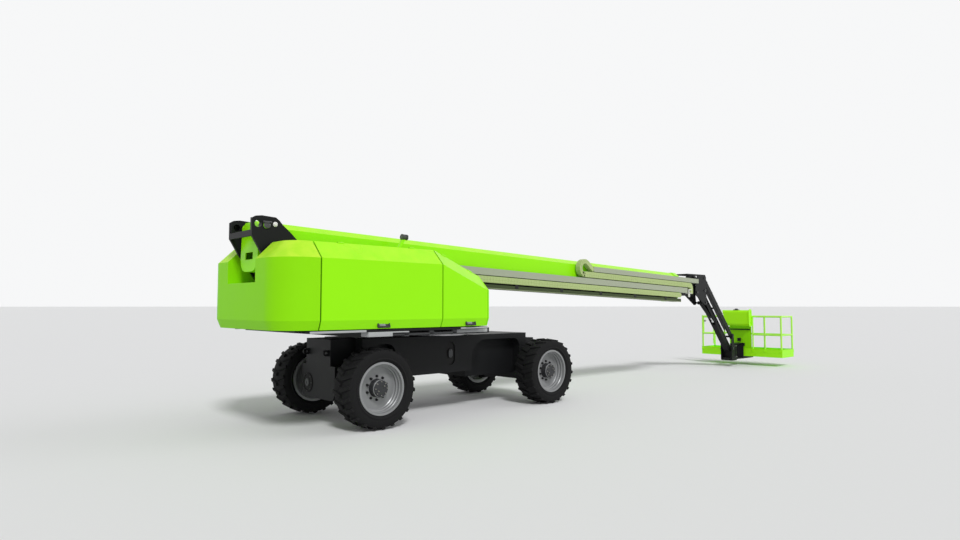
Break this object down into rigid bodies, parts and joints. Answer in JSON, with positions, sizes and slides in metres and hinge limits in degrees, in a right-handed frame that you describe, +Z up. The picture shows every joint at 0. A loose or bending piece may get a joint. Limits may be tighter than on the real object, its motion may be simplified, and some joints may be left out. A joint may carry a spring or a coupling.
{
  "type": "telescopic boom lift",
  "caption": "Self-propelled telescopic boom lift with slewing turntable, straight boom in nested sections, jib, rotating work platform, extendable axles and steered wheels.",
  "frame": {"origin": "on the ground, half-way along the machine's whole length and on its centre plane", "axes": "+X towards the work platform, +Y to the machine's left, +Z up"},
  "size_m": [16.0344, 2.49, 2.977],
  "materials": {
    "dark_paint": "satin charcoal paint",
    "green_paint": "gloss lime green paint",
    "counterweight_iron": "lime green paint over cast iron",
    "silver_paint": "silver grey wheel paint",
    "tyre_rubber": "matt black rubber",
    "bare_steel": "machined steel",
    "grey_rail": "light grey paint",
    "cream_chain": "cream plastic",
    "chrome_rod": "hard chrome",
    "engine_iron": "dark grey enamel",
    "tank_plastic": "black polyethylene",
    "lamp_plastic": "light grey plastic"
  },
  "bodies": {
    "chassis": {"chassis_frame": "dark_paint", "axle_boxes": "dark_paint", "slew_ring": "bare_steel"},
    "axle_fl": {"axle_beam_fl": "dark_paint"},
    "knuckle_fl": {"knuckle_fl": "dark_paint"},
    "wheel_fl": {"rim_fl": "silver_paint", "tyre_fl": "tyre_rubber"},
    "axle_fr": {"axle_beam_fr": "dark_paint"},
    "knuckle_fr": {"knuckle_fr": "dark_paint"},
    "wheel_fr": {"rim_fr": "silver_paint", "tyre_fr": "tyre_rubber"},
    "axle_rl": {"axle_beam_rl": "dark_paint"},
    "knuckle_rl": {"knuckle_rl": "dark_paint"},
    "wheel_rl": {"rim_rl": "silver_paint", "tyre_rl": "tyre_rubber"},
    "axle_rr": {"axle_beam_rr": "dark_paint"},
    "knuckle_rr": {"knuckle_rr": "dark_paint"},
    "wheel_rr": {"rim_rr": "silver_paint", "tyre_rr": "tyre_rubber"},
    "turntable": {"turntable_frame": "dark_paint", "counterweight": "counterweight_iron", "cover_tops": "green_paint", "engine_block": "engine_iron", "tank_block": "tank_plastic", "work_lamp": "lamp_plastic"},
    "side_cover_left": {"side_cover_left": "green_paint"},
    "side_cover_right": {"side_cover_right": "green_paint"},
    "front_cover_left": {"front_cover_left": "green_paint"},
    "front_cover_right": {"front_cover_right": "green_paint"},
    "boom_base": {"boom_base": "green_paint", "hose_rails": "grey_rail", "hose_chains": "cream_chain"},
    "boom_mid_1": {"boom_mid_1": "green_paint"},
    "boom_mid_2": {"boom_mid_2": "green_paint"},
    "boom_tip": {"boom_tip": "green_paint"},
    "lift_barrel": {"lift_barrel": "dark_paint"},
    "lift_rod": {"lift_rod": "chrome_rod"},
    "jib_head": {"jib_head": "dark_paint"},
    "jib_arm": {"jib_arm": "dark_paint"},
    "jib_links": {"jib_links": "dark_paint"},
    "jib_barrel": {"jib_barrel": "dark_paint"},
    "jib_rod": {"jib_rod": "chrome_rod"},
    "platform_bracket": {"platform_bracket": "dark_paint"},
    "platform": {"platform_mount": "dark_paint", "platform_floor": "green_paint", "platform_rails": "green_paint", "platform_console": "green_paint", "platform_panel": "green_paint"},
    "platform_gate": {"platform_gate": "green_paint"}
  },
  "joints": [
    {"name": "axle_extend_fl", "type": "slide", "parent": "chassis", "child": "axle_fl", "axis": [0, 1, 0], "range_m": [0, 0.68]},
    {"name": "steer_fl", "type": "hinge", "parent": "axle_fl", "child": "knuckle_fl", "pos_m": [-2.76123, 0.7, 0.5775], "axis": [0, 0, 1], "range_deg": [-30, 30]},
    {"name": "wheel_spin_fl", "type": "hinge", "parent": "knuckle_fl", "child": "wheel_fl", "pos_m": [-2.76123, 0.965, 0.5775], "axis": [0, 1, 0], "continuous": true},
    {"name": "axle_extend_fr", "type": "slide", "parent": "chassis", "child": "axle_fr", "axis": [0, -1, 0], "range_m": [0, 0.68]},
    {"name": "steer_fr", "type": "hinge", "parent": "axle_fr", "child": "knuckle_fr", "pos_m": [-2.76123, -0.7, 0.5775], "axis": [0, 0, 1], "range_deg": [-30, 30]},
    {"name": "wheel_spin_fr", "type": "hinge", "parent": "knuckle_fr", "child": "wheel_fr", "pos_m": [-2.76123, -0.965, 0.5775], "axis": [0, 1, 0], "continuous": true},
    {"name": "axle_extend_rl", "type": "slide", "parent": "chassis", "child": "axle_rl", "axis": [0, 1, 0], "range_m": [0, 0.68]},
    {"name": "steer_rl", "type": "hinge", "parent": "axle_rl", "child": "knuckle_rl", "pos_m": [-6.41323, 0.7, 0.5775], "axis": [0, 0, 1], "range_deg": [-30, 30]},
    {"name": "wheel_spin_rl", "type": "hinge", "parent": "knuckle_rl", "child": "wheel_rl", "pos_m": [-6.41323, 0.965, 0.5775], "axis": [0, 1, 0], "continuous": true},
    {"name": "axle_extend_rr", "type": "slide", "parent": "chassis", "child": "axle_rr", "axis": [0, -1, 0], "range_m": [0, 0.68]},
    {"name": "steer_rr", "type": "hinge", "parent": "axle_rr", "child": "knuckle_rr", "pos_m": [-6.41323, -0.7, 0.5775], "axis": [0, 0, 1], "range_deg": [-30, 30]},
    {"name": "wheel_spin_rr", "type": "hinge", "parent": "knuckle_rr", "child": "wheel_rr", "pos_m": [-6.41323, -0.965, 0.5775], "axis": [0, 1, 0], "continuous": true},
    {"name": "turret_swing", "type": "hinge", "parent": "chassis", "child": "turntable", "pos_m": [-4.58723, 0, 1.3], "axis": [0, 0, 1], "continuous": true},
    {"name": "side_cover_left_lift", "type": "hinge", "parent": "turntable", "child": "side_cover_left", "pos_m": [-6.41523, 1.01, 2.61], "axis": [1, 0, 0], "range_deg": [0, 75]},
    {"name": "side_cover_right_lift", "type": "hinge", "parent": "turntable", "child": "side_cover_right", "pos_m": [-6.41523, -1.01, 2.61], "axis": [-1, 0, 0], "range_deg": [0, 75]},
    {"name": "front_cover_left_lift", "type": "hinge", "parent": "turntable", "child": "front_cover_left", "pos_m": [-4.91273, 1.01, 2.422], "axis": [0.927, 0, -0.3752], "range_deg": [0, 75]},
    {"name": "front_cover_right_lift", "type": "hinge", "parent": "turntable", "child": "front_cover_right", "pos_m": [-4.91273, -1.01, 2.422], "axis": [-0.927, 0, 0.3752], "range_deg": [0, 75]},
    {"name": "boom_lift", "type": "hinge", "parent": "turntable", "child": "boom_base", "pos_m": [-7.80723, 0, 2.85], "axis": [0, -1, 0], "range_deg": [0, 76.8]},
    {"name": "lift_barrel_swing", "type": "hinge", "parent": "turntable", "child": "lift_barrel", "pos_m": [-7.08723, 0, 1.6], "axis": [0, -1, 0], "range_deg": [0, 69.28]},
    {"name": "lift_rod_slide", "type": "slide", "parent": "lift_barrel", "child": "lift_rod", "axis": [0.986, 0, 0.1666], "range_m": [0, 1.74097]},
    {"name": "boom_extend_1", "type": "slide", "parent": "boom_base", "child": "boom_mid_1", "axis": [0.9995, 0, -0.0314], "range_m": [0, 8.5]},
    {"name": "boom_extend_2", "type": "slide", "parent": "boom_mid_1", "child": "boom_mid_2", "axis": [0.9995, 0, -0.0314], "range_m": [0, 8.5]},
    {"name": "boom_extend_3", "type": "slide", "parent": "boom_mid_2", "child": "boom_tip", "axis": [0.9995, 0, -0.0314], "range_m": [0, 8.5]},
    {"name": "jib_head_level", "type": "hinge", "parent": "boom_tip", "child": "jib_head", "pos_m": [4.36277, 0, 2.10954], "axis": [0, -1, 0], "range_deg": [-76.8, 0]},
    {"name": "jib_lift", "type": "hinge", "parent": "jib_head", "child": "jib_arm", "pos_m": [4.77277, 0, 2.15954], "axis": [0, -1, 0], "range_deg": [0, 115]},
    {"name": "jib_link_swing", "type": "hinge", "parent": "jib_head", "child": "jib_links", "pos_m": [4.77277, 0, 2.49954], "axis": [0, -1, 0], "range_deg": [0, 115]},
    {"name": "jib_barrel_swing", "type": "hinge", "parent": "jib_head", "child": "jib_barrel", "pos_m": [4.83277, 0, 1.82954], "axis": [0, -1, 0], "range_deg": [0, 110.55]},
    {"name": "jib_rod_slide", "type": "slide", "parent": "jib_barrel", "child": "jib_rod", "axis": [0.812, 0, -0.5837], "range_m": [0, 0.55934]},
    {"name": "platform_level", "type": "hinge", "parent": "jib_arm", "child": "platform_bracket", "pos_m": [6.36223, 0, 0.51934], "axis": [0, -1, 0], "range_deg": [-115, 0]},
    {"name": "platform_rotate", "type": "hinge", "parent": "platform_bracket", "child": "platform", "pos_m": [6.74223, 0, 0.21434], "axis": [0, 0, 1], "range_deg": [-90, 90]},
    {"name": "platform_gate_swing", "type": "hinge", "parent": "platform", "child": "platform_gate", "pos_m": [7.92623, 1.195, 1.39934], "axis": [0, 0, 1], "range_deg": [0, 85]}
  ],
  "couplings": [
    {"joint": "axle_extend_fr", "follows": "axle_extend_fl", "ratio": 1},
    {"joint": "steer_fr", "follows": "steer_fl", "ratio": 1},
    {"joint": "axle_extend_rr", "follows": "axle_extend_rl", "ratio": 1},
    {"joint": "steer_rr", "follows": "steer_rl", "ratio": 1},
    {"joint": "lift_barrel_swing", "follows": "boom_lift", "ratio": 0.90181},
    {"joint": "lift_rod_slide", "follows": "boom_lift", "m_per_rad": 1.2985},
    {"joint": "boom_extend_2", "follows": "boom_extend_1", "ratio": 1},
    {"joint": "boom_extend_3", "follows": "boom_extend_1", "ratio": 1},
    {"joint": "jib_head_level", "follows": "boom_lift", "ratio": -1},
    {"joint": "jib_link_swing", "follows": "jib_lift", "ratio": 1},
    {"joint": "jib_barrel_swing", "follows": "jib_lift", "ratio": 0.9611},
    {"joint": "jib_rod_slide", "follows": "jib_lift", "m_per_rad": 0.27843},
    {"joint": "platform_level", "follows": "jib_lift", "ratio": -1}
  ]
}
